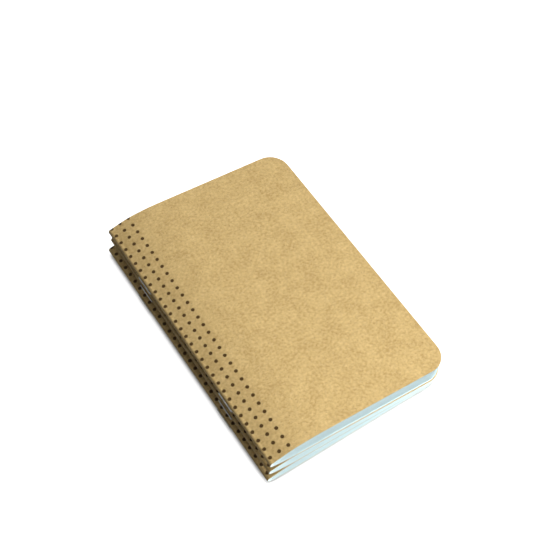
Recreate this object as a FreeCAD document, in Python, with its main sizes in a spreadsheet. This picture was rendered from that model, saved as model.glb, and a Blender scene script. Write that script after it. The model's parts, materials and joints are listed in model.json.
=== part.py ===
import FreeCAD, Part
import math
import os
import Sketcher

# A bundle of three saddle-stitched pocket notebooks, stacked with their folds to the left.
# Each notebook is one folded card cover and eight folded sheets, held by two wire staples
# through the fold. A folded piece is modelled as two nodes: the back half, which keeps the
# fold itself, and the front half, which turns about the fold. The two lower notebooks are
# pressed flat at their fore-edges, and the front half of the top one springs up. Millimetres;
# +Y towards the head, +X towards the fore-edge, +Z up, origin on the face that the bundle
# rests on.
#
# Every notebook is drawn about its own fold: X from the fold, Z from its middle spread.

NOTEBOOKS = ("bottom", "middle", "top")
SHEETS = 8
COVER = SHEETS + 1  # the cover is the ply outside the last sheet

SIZES = (
    ("page_width", 92),        # fold to fore-edge
    ("page_height", 140),      # tail to head
    ("corner_radius", 9.5),    # the two corners at the fore-edge
    ("sheet_gauge", 0.10),     # paper thickness
    ("cover_gauge", 0.30),     # card thickness
    ("fold_gap", 0.015),       # air between plies at the fold
    ("shoulder_reach", 4.5),   # from the fold to where the plies have nearly spread
    ("shoulder_core", 0.22),   # half of the middle spread's opening there
    ("shoulder_gap", 0.148),   # air between plies there
    ("swell_reach", 10.5),     # from the fold to the thickest place of a pressed half
    ("swell_core", 0.15),
    ("swell_gap", 0.231),
    ("fore_core", 0.02),       # the same two at the fore-edge
    ("fore_gap", 0.015),
    ("rise_core", 0.35),       # the top notebook's front half at the shoulder
    ("rise_gap", 0.227),
    ("arch_core", 0.60),       # and at the swell
    ("arch_gap", 0.407),
    ("crest_reach", 21),       # from the fold to where it has risen
    ("crest_core", 0.90),
    ("crest_gap", 0.512),
    ("lift_core", 1.20),       # and at the fore-edge
    ("lift_gap", 0.60),
    ("turn_gap", 0.10),        # air between what turns and what stays
    ("wire_radius", 0.25),     # staple wire
    ("wire_gap", 0.02),        # air round the wire in its holes
    ("core_gap", 0.05),        # air between the clinched wire and the innermost fold
    ("staple_reach", 35),      # middle of the spine to the middle of a staple
    ("staple_span", 11.5),     # between the two legs of a staple
    ("clinch_length", 4.5),    # the bent end of a leg, inside the fold
    ("rest_gap", 0.05),        # air between two notebooks
    ("middle_slip", 1.25),      # each notebook lies a little off the one below it: towards the
    ("middle_slide", 0.15),     # fore-edge, towards the head, and turned in degrees
    ("middle_yaw", -0.5),
    ("top_slip", -0.5),
    ("top_slide", -0.05),
    ("top_yaw", 0.35),
)

doc = FreeCAD.newDocument("notebook_bundle")
sizes = doc.addObject("Spreadsheet::Sheet", "sizes")
for row, (alias, value) in enumerate(SIZES, start=1):
    sizes.set(f"A{row}", alias)
    sizes.set(f"B{row}", str(value))
    sizes.setAlias(f"B{row}", alias)
doc.recompute()


# ---- where each ply lies, as expressions on the sheet ----

def gauge(ply):
    return "sizes.cover_gauge" if ply == COVER else "sizes.sheet_gauge"


def inner(place, ply):
    """Height of a ply's inner face at the fold or at another place, from the middle spread."""
    core = "sizes.wire_radius + sizes.core_gap" if place == "fold" else f"sizes.{place}_core"
    return f"({core} + {ply - 1} * (sizes.sheet_gauge + sizes.{place}_gap))"


def outer(place, ply):
    return f"({inner(place, ply)} + {gauge(ply)})"


SPINE = outer("fold", COVER)
CROWN = f"({SPINE} + sizes.wire_gap + sizes.wire_radius)"  # fold axis to the crown's centre line
STILL = f"({CROWN} + sizes.wire_radius + sizes.turn_gap)"  # nothing that turns comes nearer
HOLE = "(sizes.wire_radius + sizes.wire_gap)"


def stub_end(ply):
    """Where the back half's short turn over the fold ends, inside the still radius."""
    return f"sqrt({STILL}^2 - {outer('fold', ply)}^2)"


def front_start(ply):
    """Where the front half starts, clear of everything inside the still radius."""
    return f"sqrt(({STILL} + sizes.turn_gap)^2 - {inner('fold', ply)}^2)"


# ---- sketching ----

def new_sketch(body, name, role):
    sketch = body.newObject("Sketcher::SketchObject", name)
    plane = next(f for f in body.Origin.OriginFeatures if f.Role == role)
    sketch.AttachmentSupport = [(plane, "")]
    sketch.MapMode = "FlatFace"
    return sketch


def bind(sketch, kind, edge, end, name, expression):
    """One distance from the sketch's origin, tied to the sheet."""
    value = float(sketch.evalExpression(expression))
    number = sketch.addConstraint(Sketcher.Constraint(kind, -1, 1, edge, end, value))
    sketch.renameConstraint(number, name)
    sketch.setExpression(f"Constraints.{name}", expression)


def draw_outline(sketch, corners, arcs):
    """A closed outline through corners, pairs of expressions; None is on the sketch's own axis.

    arcs maps the corner that an arc starts from to its centre, or None for the sketch's origin,
    and its turn, 1 for anticlockwise. The arc's far end takes its height from the radius.
    """
    first, count = sketch.GeometryCount, len(corners)

    def point(pair):
        x, y = (float(sketch.evalExpression(e)) if e else 0 for e in pair or (None, None))
        return FreeCAD.Vector(x, y, 0)

    places = [point(corner) for corner in corners]
    starts = []
    for i in range(count):
        here, there = places[i], places[(i + 1) % count]
        if i in arcs:
            centre, turn = arcs[i]
            middle = point(centre)
            ends = [math.atan2(p.y - middle.y, p.x - middle.x) for p in (here, there)[::turn]]
            circle = Part.Circle(middle, FreeCAD.Vector(0, 0, 1), (here - middle).Length)
            sketch.addGeometry(Part.ArcOfCircle(circle, *ends))
            if centre:
                bind(sketch, "DistanceX", first + i, 3, f"centre_{first + i}_x", centre[0])
                bind(sketch, "DistanceY", first + i, 3, f"centre_{first + i}_y", centre[1])
            else:
                sketch.addConstraint(Sketcher.Constraint("Coincident", first + i, 3, -1, 1))
            starts.append(1 if turn == 1 else 2)
        else:
            sketch.addGeometry(Part.LineSegment(here, there))
            starts.append(1)
    for i in range(count):
        after = (i + 1) % count
        sketch.addConstraint(Sketcher.Constraint(
            "Coincident", first + i, 3 - starts[i], first + after, starts[after]))
    for i, (x, y) in enumerate(corners):
        if x:
            bind(sketch, "DistanceX", first + i, starts[i], f"corner_{first + i}_x", x)
        else:
            sketch.addConstraint(Sketcher.Constraint("PointOnObject", first + i, starts[i], -2))
        if (i - 1) % count not in arcs:
            bind(sketch, "DistanceY", first + i, starts[i], f"corner_{first + i}_y", y)


# ---- the plies ----

def pad_ply(body, corners, folds=()):
    """Pads a ply's section over the page's height and rounds its two fore-edge corners.

    folds gives the corners that a half turn round the fold starts from, and its turn.
    """
    section = new_sketch(body, "section", "XZ_Plane")
    draw_outline(section, corners, {corner: (None, turn) for corner, turn in folds})
    pad = body.newObject("PartDesign::Pad", "ply")
    pad.Profile = section
    pad.SideType = "Symmetric"
    pad.setExpression("Length", "sizes.page_height")
    section.Visibility = False

    trimmings = new_sketch(body, "fore_corners", "XY_Plane")
    for side in ("", "-"):
        far = f"{side}(sizes.page_height / 2 + sizes.corner_radius)"
        edge = f"{side}(sizes.page_height / 2)"
        near = f"{side}(sizes.page_height / 2 - sizes.corner_radius)"
        back, beyond = "sizes.page_width - sizes.corner_radius", "sizes.page_width + sizes.corner_radius"
        draw_outline(trimmings, (
            ("sizes.page_width", near),
            (back, edge),
            (back, far),
            (beyond, far),
            (beyond, near),
        ), {0: ((back, near), -1 if side else 1)})
    doc.recompute()
    cut_away(body, trimmings, f"4 * {outer('lift', COVER)}", "Symmetric")


def cut_away(body, sketch, depth, side_type):
    """Cuts a sketch's outlines out of a body, and makes sure that something went."""
    before = body.Shape.Volume
    pocket = body.newObject("PartDesign::Pocket", f"{sketch.Name}_cut")
    pocket.Profile = sketch
    pocket.SideType = side_type
    pocket.setExpression("Length", depth)
    sketch.Visibility = False
    doc.recompute()
    if not body.Shape.Volume < before:
        raise RuntimeError(f"{sketch.Label} cut nothing from {body.Label}")


def pierce(body):
    """The four holes through the fold for the legs of the two staples."""
    holes = new_sketch(body, "staple_holes", "YZ_Plane")
    for number, (side, leg) in enumerate((s, e) for s in (-1, 1) for e in (-1, 1)):
        centre = f"{side} * sizes.staple_reach + {leg} * sizes.staple_span / 2"
        where = FreeCAD.Vector(float(holes.evalExpression(centre)), 0, 0)
        radius = float(holes.evalExpression(HOLE))
        holes.addGeometry(Part.Circle(where, FreeCAD.Vector(0, 0, 1), radius))
        holes.addConstraint(Sketcher.Constraint("PointOnObject", number, 3, -1))
        bind(holes, "DistanceX", number, 3, f"leg_{number}", centre)
        size = holes.addConstraint(Sketcher.Constraint("Radius", number, radius))
        holes.renameConstraint(size, f"hole_{number}")
        holes.setExpression(f"Constraints.hole_{number}", HOLE)
    doc.recompute()
    cut_away(body, holes, STILL, "One side")  # from the fold's own line out through its back


# Where a ply changes direction between the fold and the fore-edge, pressed or sprung open.
PRESSED = (
    ("shoulder", "sizes.shoulder_reach"),
    ("swell", "sizes.swell_reach"),
    ("fore", "sizes.page_width"),
)
SPRUNG = (
    ("rise", "sizes.shoulder_reach"),
    ("arch", "sizes.swell_reach"),
    ("crest", "sizes.crest_reach"),
    ("lift", "sizes.page_width"),
)


def front_half(name, ply, spread):
    body = doc.addObject("PartDesign::Body", name)
    start = front_start(ply)
    pad_ply(body, (
        (start, inner("fold", ply)),
        *((reach, inner(place, ply)) for place, reach in spread),
        *((reach, outer(place, ply)) for place, reach in reversed(spread)),
        (start, outer("fold", ply)),
    ))
    return body


def back_half(name, ply):
    body = doc.addObject("PartDesign::Body", name)
    stub = stub_end(ply)
    below = [(reach, f"-{outer(place, ply)}") for place, reach in reversed(PRESSED)]
    fold_start = len(below)
    pad_ply(body, (
        *below,
        (None, f"-{outer('fold', ply)}"),
        (None, outer("fold", ply)),
        (stub, outer("fold", ply)),
        (stub, inner("fold", ply)),
        (None, inner("fold", ply)),
        (None, f"-{inner('fold', ply)}"),
        *((reach, f"-{inner(place, ply)}") for place, reach in PRESSED),
    ), folds=((fold_start, -1), (fold_start + 4, 1)))
    pierce(body)
    return body


# ---- the staples ----

ALONG_X = FreeCAD.Rotation(FreeCAD.Vector(0, 1, 0), 90)
ALONG_Y = FreeCAD.Rotation(FreeCAD.Vector(1, 0, 0), -90)


def wire(name, rotation, x, y, length):
    rod = doc.addObject("Part::Cylinder", name)
    rod.Placement = FreeCAD.Placement(FreeCAD.Vector(), rotation)
    rod.setExpression("Radius", "sizes.wire_radius")
    rod.setExpression("Height", length)
    rod.setExpression("Placement.Base.x", x)
    rod.setExpression("Placement.Base.y", y)
    return rod


def elbow(name, x, y):
    ball = doc.addObject("Part::Sphere", name)
    ball.setExpression("Radius", "sizes.wire_radius")
    ball.setExpression("Placement.Base.x", x)
    ball.setExpression("Placement.Base.y", y)
    return ball


def staples(name):
    """Two staples: a crown behind the fold, two legs through it, each end bent in and flat."""
    pieces = []
    for side in (-1, 1):
        middle = f"{side} * sizes.staple_reach"
        low = f"{middle} - sizes.staple_span / 2"
        high = f"{middle} + sizes.staple_span / 2"
        back = f"-{CROWN}"
        pieces.append(wire(f"{name}_crown", ALONG_Y, back, low, "sizes.staple_span"))
        for leg in (low, high):
            pieces.append(wire(f"{name}_leg", ALONG_X, back, leg, CROWN))
            pieces.append(elbow(f"{name}_shoulder", back, leg))
            pieces.append(elbow(f"{name}_bend", "0", leg))
        pieces.append(wire(f"{name}_clinch", ALONG_Y, "0", low, "sizes.clinch_length"))
        pieces.append(wire(f"{name}_clinch", ALONG_Y, "0", f"{high} - sizes.clinch_length",
                           "sizes.clinch_length"))
    pair = doc.addObject("Part::MultiFuse", name)
    pair.Shapes = pieces
    pair.Refine = True
    return pair


# ---- how the notebooks lie on each other ----

def value(expression):
    return float(sizes.evalExpression(expression))


def lay(slip, slide, height, yaw):
    return FreeCAD.Placement(FreeCAD.Vector(slip, slide, height),
                             FreeCAD.Rotation(FreeCAD.Vector(0, 0, 1), yaw))


def fold_placements():
    """Each notebook's own frame: flat face on flat face, every one a wedge that tips the next."""
    swell, fore = value(outer("swell", COVER)), value(outer("fore", COVER))
    taper = math.atan((swell - fore) / (sizes.page_width - sizes.swell_reach))
    reach = (fore + sizes.page_width * math.tan(taper)) * math.cos(taper)  # fold axis to a face
    tip = FreeCAD.Placement(FreeCAD.Vector(),
                            FreeCAD.Rotation(FreeCAD.Vector(0, 1, 0), math.degrees(taper)))
    bottom = lay(-sizes.page_width / 2, 0, reach, 0) * tip
    step = 2 * reach + sizes.rest_gap
    middle = bottom * tip * lay(sizes.middle_slip, sizes.middle_slide, step, sizes.middle_yaw) * tip
    top = middle * tip * lay(sizes.top_slip, sizes.top_slide, step, sizes.top_yaw) * tip
    return dict(zip(NOTEBOOKS, (bottom, middle, top)))


# ---- the bundle ----

PLACEMENTS = fold_placements()
nodes = []
for notebook in NOTEBOOKS:
    spread = SPRUNG if notebook == "top" else PRESSED
    made = [front_half(f"{notebook}_front_cover", COVER, spread),
            back_half(f"{notebook}_back_cover", COVER)]
    for sheet in range(1, SHEETS + 1):
        made.append(front_half(f"{notebook}_front_leaf_{sheet}", sheet, spread))
        made.append(back_half(f"{notebook}_back_leaf_{sheet}", sheet))
    made.append(staples(f"{notebook}_staples"))
    doc.recompute()
    for node in made:
        node.Placement = PLACEMENTS[notebook]
    nodes += made
doc.recompute()

failed = [o.Name for o in doc.Objects if "Invalid" in o.State or "Error" in o.State]
if failed:
    raise RuntimeError(f"failed objects: {failed}")
for node in nodes:
    if node.Shape.isNull() or not node.Shape.isValid():
        raise RuntimeError(f"{node.Label} has no valid shape")

os.makedirs("parts", exist_ok=True)
for node in nodes:
    node.Shape.exportStep(f"parts/{node.Label}.step")
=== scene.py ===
import json
import math

import bmesh
import bpy
from mathutils import Matrix, Vector


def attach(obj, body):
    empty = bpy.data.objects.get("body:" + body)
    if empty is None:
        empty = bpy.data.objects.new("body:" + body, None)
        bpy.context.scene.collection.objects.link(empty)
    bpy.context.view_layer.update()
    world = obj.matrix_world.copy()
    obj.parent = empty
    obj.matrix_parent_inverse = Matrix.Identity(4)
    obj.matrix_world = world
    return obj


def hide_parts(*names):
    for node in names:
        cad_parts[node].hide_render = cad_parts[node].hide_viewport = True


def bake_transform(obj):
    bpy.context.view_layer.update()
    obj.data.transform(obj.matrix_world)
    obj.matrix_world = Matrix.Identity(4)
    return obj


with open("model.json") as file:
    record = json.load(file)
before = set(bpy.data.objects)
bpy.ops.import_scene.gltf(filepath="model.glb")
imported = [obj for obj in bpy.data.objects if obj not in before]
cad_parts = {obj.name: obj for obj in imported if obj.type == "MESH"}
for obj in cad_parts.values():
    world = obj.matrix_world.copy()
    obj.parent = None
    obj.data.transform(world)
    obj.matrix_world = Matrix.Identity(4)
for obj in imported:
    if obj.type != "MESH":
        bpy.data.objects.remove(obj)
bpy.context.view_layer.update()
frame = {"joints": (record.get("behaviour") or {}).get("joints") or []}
joints = {j["name"]: j for j in frame["joints"]}

# ---- The camera ----
# It looks down on the bundle from beyond the tail and the folds, level with the horizon.

camera = bpy.data.objects.new("camera", bpy.data.cameras.new("camera"))
bpy.context.scene.collection.objects.link(camera)
camera.location = (-0.14455, -0.22870, 0.45316)
camera.rotation_euler = (math.radians(90 - 57.5), 0, math.radians(-33.06))
camera.data.sensor_width = 36
camera.data.lens = 73.09
camera.data.clip_start = 0.01
bpy.context.scene.camera = camera


# ---- The covers ----
# Each notebook has one cover, a sheet of unbleached kraft card printed with three columns of
# dots on either side of the fold. It is printed flat and three-up, trimmed with rounded fore
# corners, pierced for the staples, and then folded round its sheets.

MM = 0.001
NOTEBOOKS = ("bottom", "middle", "top")
PAGE_WIDTH, PAGE_HEIGHT, CORNER_RADIUS = 92 * MM, 140 * MM, 9.5 * MM
SHEETS = 8
SHEET_GAUGE, COVER_GAUGE = 0.10 * MM, 0.30 * MM
STOCK_STEP = 0.2             # from one notebook's fold to the next on the stock they are cut from
WIRE_RADIUS, HOLE_RADIUS = 0.25 * MM, 0.27 * MM
STAPLES = (-35 * MM, 35 * MM)
STAPLE_SPAN = 11.5 * MM
LEGS = [middle + side * STAPLE_SPAN / 2 for middle in STAPLES for side in (-1, 1)]

# Where the plies lie, in millimetres: a distance from the fold, and there the height of the
# innermost ply above the middle spread and the pitch from one ply to the next. The lower
# notebooks are pressed flat at the fore-edge, and the front half of the top one springs up.
PRESSED = ((0, 0.30, 0.115), (4.5, 0.22, 0.248), (10.5, 0.15, 0.331), (92, 0.02, 0.115))
SPRUNG = ((0, 0.30, 0.115), (4.5, 0.35, 0.327), (10.5, 0.60, 0.507), (21, 0.90, 0.612),
          (92, 1.20, 0.70))
CREASE_STEPS = 8             # facets in each quarter of the fold
STATIONS = (0.7, 1.4, 2.1, 2.8, 3.5, 4.2, 5, 6, 7, 8, 9, 10, 11, 12, 13.5, 15, 17, 19, 21, 23,
            26, 30, 38, 55, 75)
EASING = 2.2                 # half the length over which a ply eases from slope to slope

FRONTS = {"bottom": PRESSED, "middle": PRESSED, "top": SPRUNG}
YAWS = (0, -0.5, 0.35)       # how far each notebook is turned on the one below, in degrees


def height_of(distance, ply, gauge, spread):
    """Height above the middle spread of the middle of a ply, all in millimetres."""
    def at(x):
        x = abs(x)
        for (x0, core0, pitch0), (x1, core1, pitch1) in zip(spread, spread[1:]):
            if x <= x1 or x1 == spread[-1][0]:
                share = (x - x0) / (x1 - x0)
                core = core0 + (core1 - core0) * share
                return core + (ply - 1) * (pitch0 + (pitch1 - pitch0) * share)
    reach = min(EASING, distance)
    eased = sum(at(distance + reach * k / 4) for k in range(-4, 5)) / 9
    return eased + gauge / 2


def section(ply, gauge, spread):
    """Half of a ply's section in metres, (x, z) from the middle of its fold to the fore-edge."""
    radius = height_of(0, ply, gauge, spread)
    turns = [math.radians(180 - 90 * k / CREASE_STEPS) for k in range(CREASE_STEPS + 1)]
    arc = [(radius * math.cos(a), radius * math.sin(a)) for a in turns]
    leaf = [(x, height_of(x, ply, gauge, spread)) for x in (*STATIONS, PAGE_WIDTH / MM)]
    return [(x * MM, z * MM) for x, z in arc + leaf]


def select_where(mesh, test):
    """Selects the vertices of a mesh in edit mode for which test(vertex) is true."""
    edit = bmesh.from_edit_mesh(mesh)
    for vertex in edit.verts:
        vertex.select_set(test(vertex))
    edit.select_flush_mode()
    bmesh.update_edit_mesh(mesh)


def flat_sheet(name, back_edge, front_edge, creases, shift):
    """A trimmed and pierced sheet, standing in the plane of the fold: z runs across it."""
    bpy.ops.object.select_all(action="DESELECT")
    bpy.ops.mesh.primitive_plane_add(size=1, rotation=(0, math.radians(-90), 0))
    sheet = bpy.context.object
    sheet.name = sheet.data.name = name
    bpy.ops.object.transform_apply(location=False, rotation=True, scale=False)
    bpy.ops.object.mode_set(mode="EDIT")
    bpy.ops.mesh.select_all(action="SELECT")
    bpy.ops.transform.resize(value=(1, PAGE_HEIGHT, front_edge - back_edge))
    bpy.ops.transform.translate(value=(0, 0, (front_edge + back_edge) / 2))
    bpy.ops.mesh.bevel(affect="VERTICES", offset=CORNER_RADIUS, segments=10, profile=0.5)
    cuts = [((0, 0, s), (0, 0, 1)) for s in (*creases, HOLE_RADIUS, -HOLE_RADIUS)]
    cuts += [((0, leg + side * HOLE_RADIUS, 0), (0, 1, 0)) for leg in LEGS for side in (-1, 1)]
    for place, normal in cuts:
        bpy.ops.mesh.select_all(action="SELECT")
        bpy.ops.mesh.bisect(plane_co=place, plane_no=normal)
    bpy.ops.mesh.select_mode(type="FACE")
    edit = bmesh.from_edit_mesh(sheet.data)
    for face in edit.faces:
        middle = face.calc_center_median()
        face.select_set(abs(middle.z) < HOLE_RADIUS
                        and min(abs(middle.y - leg) for leg in LEGS) < HOLE_RADIUS)
    bpy.ops.mesh.delete(type="FACE")
    bpy.ops.mesh.select_mode(type="VERT")
    bpy.ops.object.mode_set(mode="OBJECT")
    layout = sheet.data.uv_layers.active.data
    for loop in sheet.data.loops:
        place = sheet.data.vertices[loop.vertex_index].co
        layout[loop.index].uv = (place.z + shift, place.y)
    return sheet


def fold_sheet(name, ply, gauge, spread, shift, finishes):
    """A sheet folded on its creases, in its notebook's own frame, with its thickness."""
    halves = []
    for side, path in ((-1, section(ply, gauge, PRESSED)), (1, section(ply, gauge, spread))):
        creases = [0]
        for (x0, z0), (x1, z1) in zip(path, path[1:]):
            creases.append(creases[-1] + math.hypot(x1 - x0, z1 - z0))
        halves.append((side, path, creases))
    sheet = flat_sheet(name, -halves[0][2][-1], halves[1][2][-1],
                       [side * s for side, _, creases in halves for s in creases[:-1]], shift)
    for finish in finishes:
        sheet.data.materials.append(finish)
    across = [v.co.z for v in sheet.data.vertices]
    bpy.ops.object.mode_set(mode="EDIT")
    bpy.ops.mesh.select_all(action="SELECT")
    bpy.ops.transform.translate(value=(halves[0][1][0][0], 0, 0))
    for side, path, creases in halves:
        slope = math.pi / 2
        for (x0, z0), (x1, z1), crease in zip(path, path[1:], creases):
            turn = math.atan2(z1 - z0, x1 - x0) - slope
            slope += turn
            select_where(sheet.data, lambda v: side * across[v.index] > crease + 0.001 * MM)
            bpy.ops.transform.rotate(value=side * turn, orient_axis="Y", orient_type="GLOBAL",
                                     center_override=(x0, 0, side * z0))
    bpy.ops.object.mode_set(mode="OBJECT")
    wall = sheet.modifiers.new("wall", "SOLIDIFY")
    wall.thickness = gauge * MM
    wall.offset = 0
    wall.use_even_offset = True
    wall.material_offset = 1
    wall.material_offset_rim = 2
    bpy.ops.object.modifier_apply(modifier=wall.name)
    bpy.ops.object.shade_smooth_by_angle(angle=math.radians(28))
    return sheet


class Value:
    """A node's output, so that shader maths reads as an expression."""

    def __init__(self, shader, socket):
        self.shader, self.socket = shader, socket

    def math(self, operation, *others, **settings):
        return self.shader.node("ShaderNodeMath", [self, *others], operation=operation,
                                **settings)

    def __add__(self, other):
        return self.math("ADD", other)

    def __sub__(self, other):
        return self.math("SUBTRACT", other)

    def __rsub__(self, other):
        return self.shader.node("ShaderNodeMath", [other, self], operation="SUBTRACT")

    def __mul__(self, other):
        return self.math("MULTIPLY", other)

    __radd__, __rmul__ = __add__, __mul__

    def __truediv__(self, other):
        return self.math("DIVIDE", other)

    def between(self, low, high):
        """0 at low and 1 at high, eased; the other way round where low is above high."""
        return self.shader.node("ShaderNodeMapRange", {"Value": self, "From Min": low,
                                "From Max": high}, interpolation_type="SMOOTHSTEP")


class Shader:
    """A material on one principled shader, made by naming node types and their sockets."""

    def __init__(self, name, **constants):
        self.material = bpy.data.materials.new(name)
        self.material.use_nodes = True
        self.tree = self.material.node_tree
        self.surface = self.tree.nodes["Principled BSDF"]
        for socket, number in constants.items():
            self.surface.inputs[socket.replace("_", " ")].default_value = number

    def node(self, kind, values=(), output=0, **settings):
        made = self.tree.nodes.new(kind)
        for setting, choice in settings.items():
            setattr(made, setting, choice)
        pairs = values.items() if isinstance(values, dict) else enumerate(values)
        for key, given in pairs:
            self.feed(made.inputs[key], given)
        return Value(self, made.outputs[output])

    def feed(self, socket, given):
        if isinstance(given, Value):
            self.tree.links.new(given.socket, socket)
        else:
            socket.default_value = given

    def set(self, **links):
        for socket, given in links.items():
            self.feed(self.surface.inputs[socket.replace("_", " ")], given)

    def mix(self, factor, first, second):
        """From one colour to another."""
        return self.node("ShaderNodeMix", {0: factor, 6: first, 7: second}, output=2,
                         data_type="RGBA")

    def noise(self, place, scale, detail=2.0, rough=0.5):
        return self.node("ShaderNodeTexNoise", {"Vector": place, "Scale": scale,
                         "Detail": detail, "Roughness": rough})

    def stretched(self, place, scale, turn=0):
        """Coordinates turned by some degrees and stretched, for fibres and drawn lines."""
        return self.node("ShaderNodeMapping", {"Vector": place, "Scale": scale,
                         "Rotation": (0, 0, math.radians(turn))})


def linear(*levels):
    """A colour from its 0 to 255 display levels."""
    shares = [level / 255 for level in levels]
    return (*(s / 12.92 if s <= 0.04045 else ((s + 0.055) / 1.055) ** 2.4 for s in shares), 1)


PULP_DARK, PULP_LIGHT = linear(168, 137, 80), linear(220, 191, 130)
PALE_FIBRE, DARK_FIBRE = linear(226, 203, 160), linear(150, 114, 68)
BARK, CUT_CARD, INK = linear(104, 74, 40), linear(160, 172, 166), linear(66, 43, 4)
FIBRE_WAYS = ((12, 1.0), (63, 0.8), (118, 0.9), (157, 0.7))  # degrees, and how many lie so
DOT_PITCH, DOT_RADIUS, DOT_COLUMNS = 4.567, 0.84, 3  # millimetres
FIRST_ROW = 69.8             # the trimming at the head cuts through this row


def fibres(shader, card):
    """How much of a pale fibre, and of a dark hollow between fibres, lies at a point."""
    pale = dark = None
    for turn, weight in FIBRE_WAYS:
        line = shader.noise(shader.stretched(card, (0.5, 5.5, 1), turn), 1.0, 2, 0.4)
        strands = line.between(0.60, 0.72) * weight
        hollows = line.between(0.39, 0.28) * weight
        pale = strands if pale is None else pale + strands
        dark = hollows if dark is None else dark + hollows
    return pale, dark


def bark_specks(shader, card):
    """A small round speck in about a third of the cells of a fine random net."""
    net = {"Vector": card, "Scale": 0.62}
    middle = shader.node("ShaderNodeTexVoronoi", net)
    chosen = shader.node("ShaderNodeSeparateColor", {
        0: shader.node("ShaderNodeTexVoronoi", net, output=1)})
    return middle.between(0.17, 0.08) * chosen.between(0.62, 0.66)


def printed_dots(shader, card, grain):
    """Rows of dots with ragged rims, in columns either side of the fold and worn along it."""
    across = shader.node("ShaderNodeSeparateXYZ", {0: card})
    up = shader.node("ShaderNodeSeparateXYZ", {0: card}, output=1)
    step = STOCK_STEP / MM
    off = ((across / step + 0.5).math("FRACT") * step - step / 2).math("ABSOLUTE")
    ragged = (shader.noise(card, 1.9, 3, 0.6) - 0.5) * 0.42
    dx = ((off / DOT_PITCH).math("FRACT") - 0.5) * DOT_PITCH
    dy = (((FIRST_ROW - up) / DOT_PITCH + 0.5).math("FRACT") - 0.5) * DOT_PITCH
    reach = (dx * dx + dy * dy).math("SQRT") + ragged
    band = DOT_PITCH * DOT_COLUMNS
    dots = reach.between(DOT_RADIUS + 0.16, DOT_RADIUS - 0.12) * off.between(band + 0.05,
                                                                            band - 0.05)
    worn = 1 - off.between(0.9, 0.3) * shader.noise(card, 2.6, 3).between(0.45, 0.62) * 0.5
    return dots * worn * (0.88 + grain.between(0.35, 0.6) * 0.12)


def kraft(name, bleach=0.0, printed=False):
    """Unbleached card: cloudy brown pulp with pale and dark fibres and a few bark specks."""
    shader = Shader(name, Specular_IOR_Level=0.25, Sheen_Weight=0.06, Sheen_Roughness=0.5)
    flat = shader.node("ShaderNodeUVMap")
    card = shader.node("ShaderNodeVectorMath", {0: flat, "Scale": 1 / MM}, operation="SCALE")
    cloud = shader.noise(card, 0.11, 4, 0.6)
    mottle = shader.noise(card, 0.75, 4, 0.65)
    grain = shader.noise(card, 4.5, 3, 0.6)
    pale, dark = fibres(shader, card)
    tint = (cloud - 0.5) * 0.5 + (mottle - 0.5) + (grain - 0.5) * 0.4
    body = shader.mix(tint.between(-0.40, 0.40), PULP_DARK, PULP_LIGHT)
    body = shader.mix(pale * 0.34, body, PALE_FIBRE)
    body = shader.mix(dark * 0.34, body, DARK_FIBRE)
    body = shader.mix(bark_specks(shader, card) * 0.55, body, BARK)
    if bleach:
        body = shader.mix(bleach, body, CUT_CARD)
    if printed:
        body = shader.mix(printed_dots(shader, card, grain), body, INK)
    relief = mottle * 0.35 + grain * 0.35 + pale * 0.3 - dark * 0.25
    bump = shader.node("ShaderNodeBump", {"Strength": 0.35, "Distance": 0.06 * MM,
                                          "Height": relief})
    shader.set(Base_Color=body, Normal=bump, Roughness=0.74 + grain.between(0.3, 0.7) * 0.16)
    return shader.material


card_faces = (kraft("kraft_printed", printed=True), kraft("kraft_plain"),
              kraft("kraft_cut_edge", bleach=0.85))


def notebook_frames():
    """Each notebook's own frame: x from its fold, y to the head, z from its middle spread."""
    (swell, swell_core, swell_pitch), (fore, fore_core, fore_pitch) = PRESSED[-2:]
    drop = swell_core - fore_core + SHEETS * (swell_pitch - fore_pitch)
    tip = Matrix.Rotation(math.atan(drop / (fore - swell)), 3, "Y")
    frames, turn = {}, Matrix.Identity(3)
    for name, yaw in zip(NOTEBOOKS, YAWS):
        turn = turn @ tip if name == "bottom" else (
            turn @ tip @ Matrix.Rotation(math.radians(yaw), 3, "Z") @ tip)
        frames[name] = Matrix.Translation(joints[f"{name}_cover_open"]["pos_m"]) @ turn.to_4x4()
    return frames


FRAMES = notebook_frames()


def put(piece, notebook):
    """Moves a finished piece from its notebook's own frame to its place in the bundle."""
    piece.data.transform(FRAMES[notebook])
    return piece


def bend_at_fold(piece, notebook, ply):
    """Bakes the piece's place into its mesh.

    It also works out two ends for a change between the halves, half-way across the page near the
    origin, where their numbers are finest, and between the halves even where they come nearest, at
    the fore-edge; nothing uses them.
    """
    fore_core, fore_pitch = PRESSED[-1][1:]
    reach = 0.9 * (fore_core + (ply - 1) * fore_pitch) * MM
    start, end = (FRAMES[notebook] @ Vector((PAGE_WIDTH / 2, 0, side * reach)) for side in (-1, 1))
    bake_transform(piece)


for number, notebook in enumerate(NOTEBOOKS):
    cover = fold_sheet(f"{notebook}_folded_cover", SHEETS + 1, COVER_GAUGE / MM,
                       FRONTS[notebook], STOCK_STEP * (number - 1), card_faces)
    put(cover, notebook)
    bend_at_fold(cover, notebook, SHEETS + 1)
    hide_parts(f"{notebook}_front_cover", f"{notebook}_back_cover")


# ---- The folded sheets ----
# Eight sheets of thin, faintly blue writing paper nest in each cover and make 32 pages. Each
# is folded once and trimmed with its cover, so the outer sheets are a little wider.


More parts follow.
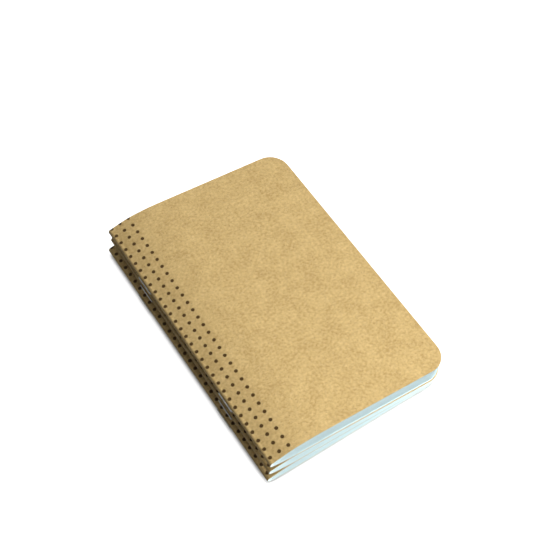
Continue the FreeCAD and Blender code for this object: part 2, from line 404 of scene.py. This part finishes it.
def paper():
    """Smooth wove paper: a faint cloudy formation and very fine tooth."""
    shader = Shader("wove_paper", Specular_IOR_Level=0.3)
    flat = shader.node("ShaderNodeUVMap")
    leaf = shader.node("ShaderNodeVectorMath", {0: flat, "Scale": 1 / MM}, operation="SCALE")
    formation = shader.noise(leaf, 0.5, 4, 0.6)
    tooth = shader.noise(leaf, 7.0, 3, 0.6)
    tint = (formation - 0.5) * 0.8 + (tooth - 0.5) * 0.5
    colour = shader.mix(tint.between(-0.35, 0.35), linear(190, 211, 214), linear(206, 224, 226))
    bump = shader.node("ShaderNodeBump", {"Strength": 0.25, "Distance": 0.03 * MM,
                                          "Height": tooth + formation * 0.5})
    shader.set(Base_Color=colour, Normal=bump, Roughness=0.66 + tooth * 0.16)
    return shader.material


writing_paper = paper()
for number, notebook in enumerate(NOTEBOOKS):
    for ply in range(1, SHEETS + 1):
        sheet = fold_sheet(f"{notebook}_folded_sheet_{ply}", ply, SHEET_GAUGE / MM,
                           FRONTS[notebook], STOCK_STEP * (number * SHEETS + ply),
                           [writing_paper])
        put(sheet, notebook)
        bend_at_fold(sheet, notebook, ply)
        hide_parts(f"{notebook}_front_leaf_{ply}", f"{notebook}_back_leaf_{ply}")


# ---- The staples ----
# Two round steel wire staples hold each notebook. The crown lies along the outside of the fold,
# the legs go through it, and their ends are bent towards each other in the middle spread.

FOLD_CORE, FOLD_PITCH = PRESSED[0][1:]
CROWN_DEPTH = (FOLD_CORE + SHEETS * FOLD_PITCH) * MM + COVER_GAUGE + HOLE_RADIUS
BEND_RADIUS = 0.42 * MM
CLINCH_LENGTH = 4.5 * MM


def steel_wire():
    """Drawn and galvanised: long fine die lines and a slightly cloudy zinc skin."""
    shader = Shader("galvanised_wire", Metallic=1.0)
    place = shader.node("ShaderNodeTexCoord", output=3)
    drawn = shader.noise(shader.stretched(place, (9000, 500, 9000)), 1.0, 3)
    zinc = shader.noise(place, 1400, 3)
    colour = shader.mix(zinc.between(0.3, 0.7), linear(168, 167, 162), linear(203, 203, 199))
    bump = shader.node("ShaderNodeBump", {"Strength": 0.2, "Distance": 0.01 * MM, "Height": drawn})
    shader.set(Base_Color=colour, Normal=bump, Roughness=0.24 + drawn * 0.2)
    return shader.material


def staple(name, middle):
    """Half a staple, drawn out from the middle of its crown and mirrored."""
    bpy.ops.object.select_all(action="DESELECT")
    bpy.ops.mesh.primitive_circle_add(vertices=16, radius=WIRE_RADIUS, rotation=(math.pi / 2, 0, 0))
    wire = bpy.context.object
    wire.name = wire.data.name = name
    bpy.ops.object.transform_apply(location=False, rotation=True, scale=False)
    corner = STAPLE_SPAN / 2 - BEND_RADIUS
    bpy.ops.object.mode_set(mode="EDIT")
    bpy.ops.mesh.select_all(action="SELECT")
    bpy.ops.transform.translate(value=(-CROWN_DEPTH, 0, 0))

    def draw_out(x, y):
        bpy.ops.mesh.extrude_region_move(TRANSFORM_OT_translate={"value": (x, y, 0)})

    def bend(x):
        bpy.ops.mesh.spin(steps=8, angle=math.radians(-90), center=(x, corner, 0), axis=(0, 0, 1))

    draw_out(0, corner)
    bend(-CROWN_DEPTH + BEND_RADIUS)
    draw_out(CROWN_DEPTH - 2 * BEND_RADIUS, 0)
    bend(-BEND_RADIUS)
    draw_out(0, BEND_RADIUS - CLINCH_LENGTH)
    bpy.ops.mesh.edge_face_add()
    bpy.ops.object.mode_set(mode="OBJECT")
    other = wire.modifiers.new("other_half", "MIRROR")
    other.use_axis = (False, True, False)
    other.merge_threshold = 0.01 * MM
    bpy.ops.object.modifier_apply(modifier=other.name)
    bpy.ops.object.mode_set(mode="EDIT")
    bpy.ops.mesh.select_all(action="SELECT")
    bpy.ops.mesh.normals_make_consistent(inside=False)
    bpy.ops.transform.translate(value=(0, middle, 0))
    bpy.ops.object.mode_set(mode="OBJECT")
    bpy.ops.object.shade_smooth_by_angle(angle=math.radians(35))
    return wire


wire_finish = steel_wire()
for notebook in NOTEBOOKS:
    for end, middle in zip(("tail", "head"), STAPLES):
        wire = staple(f"{notebook}_staple_{end}", middle)
        wire.data.materials.append(wire_finish)
        put(wire, notebook)
        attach(wire, f"{notebook}_notebook")
        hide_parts(f"{notebook}_staples")


# ---- The floor and the light ----
# A plain white sweep under a soft window on the fore-edge side and a weak ceiling, with a white
# card low at the tail and a dim one at the head. The sweep glows evenly bright, and a painted
# contact shadow dims its glow only next to where the stack touches it.

SWEEP_SIZE, BACKDROP_RADIUS = 40, 18  # metres

bpy.ops.object.select_all(action="DESELECT")
bpy.ops.mesh.primitive_plane_add(size=SWEEP_SIZE)
floor = bpy.context.object
floor.name = "floor"
floor.visible_diffuse = False
sweep = Shader("white_sweep", Roughness=0.9, Base_Color=(0.60, 0.60, 0.60, 1),
               Emission_Strength=1.0)
# Painted contact shadow: the sweep's glow goes from white to nearly black where the stack hides
# much of the open sky within 3.5 mm.
open_share_for_painted_shadow = sweep.node("ShaderNodeAmbientOcclusion", {"Distance": 3.5 * MM}, output=1)
sweep.set(Emission_Color=sweep.mix(open_share_for_painted_shadow.between(0.42, 0.92), (0.02, 0.02, 0.02, 1),
                                   (0.92, 0.92, 0.92, 1)))
floor.data.materials.append(sweep.material)

# A white wall far behind the sweep, for a camera that stands low and sees that far. It lights
# nothing.
bpy.ops.mesh.primitive_uv_sphere_add(segments=64, ring_count=32, radius=BACKDROP_RADIUS)
backdrop = bpy.context.object
backdrop.name = "backdrop"
backdrop.visible_diffuse = backdrop.visible_glossy = backdrop.visible_shadow = False
wall = Shader("white_backdrop", Base_Color=(0, 0, 0, 1), Specular_IOR_Level=0.0,
              Emission_Strength=1.0, Emission_Color=(0.95, 0.95, 0.95, 1))
backdrop.data.materials.append(wall.material)


def soft_light(name, place, size, power):
    """A round area light, aimed at the middle of the stack."""
    light = bpy.data.objects.new(name, bpy.data.lights.new(name, "AREA"))
    bpy.context.scene.collection.objects.link(light)
    light.data.shape = "DISK"
    light.data.size = size
    light.data.energy = power
    light.location = place
    light.rotation_euler = (-Vector(place)).to_track_quat("-Z", "Y").to_euler()


soft_light("window", (0.58, -0.06, 0.68), 0.30, 5.3)
soft_light("ceiling", (0.1, -0.35, 1.5), 1.2, 5.0)
soft_light("bounce_card", (0.08, -0.45, 0.08), 0.30, 4.0)
soft_light("head_card", (0.12, 0.60, 0.10), 0.40, 1.1)
world = bpy.data.worlds.new("studio")
world.use_nodes = True
world.node_tree.nodes["Background"].inputs["Color"].default_value = (1, 1, 1, 1)
world.node_tree.nodes["Background"].inputs["Strength"].default_value = 0.10
bpy.context.scene.world = world
bpy.context.scene.view_settings.view_transform = "Standard"
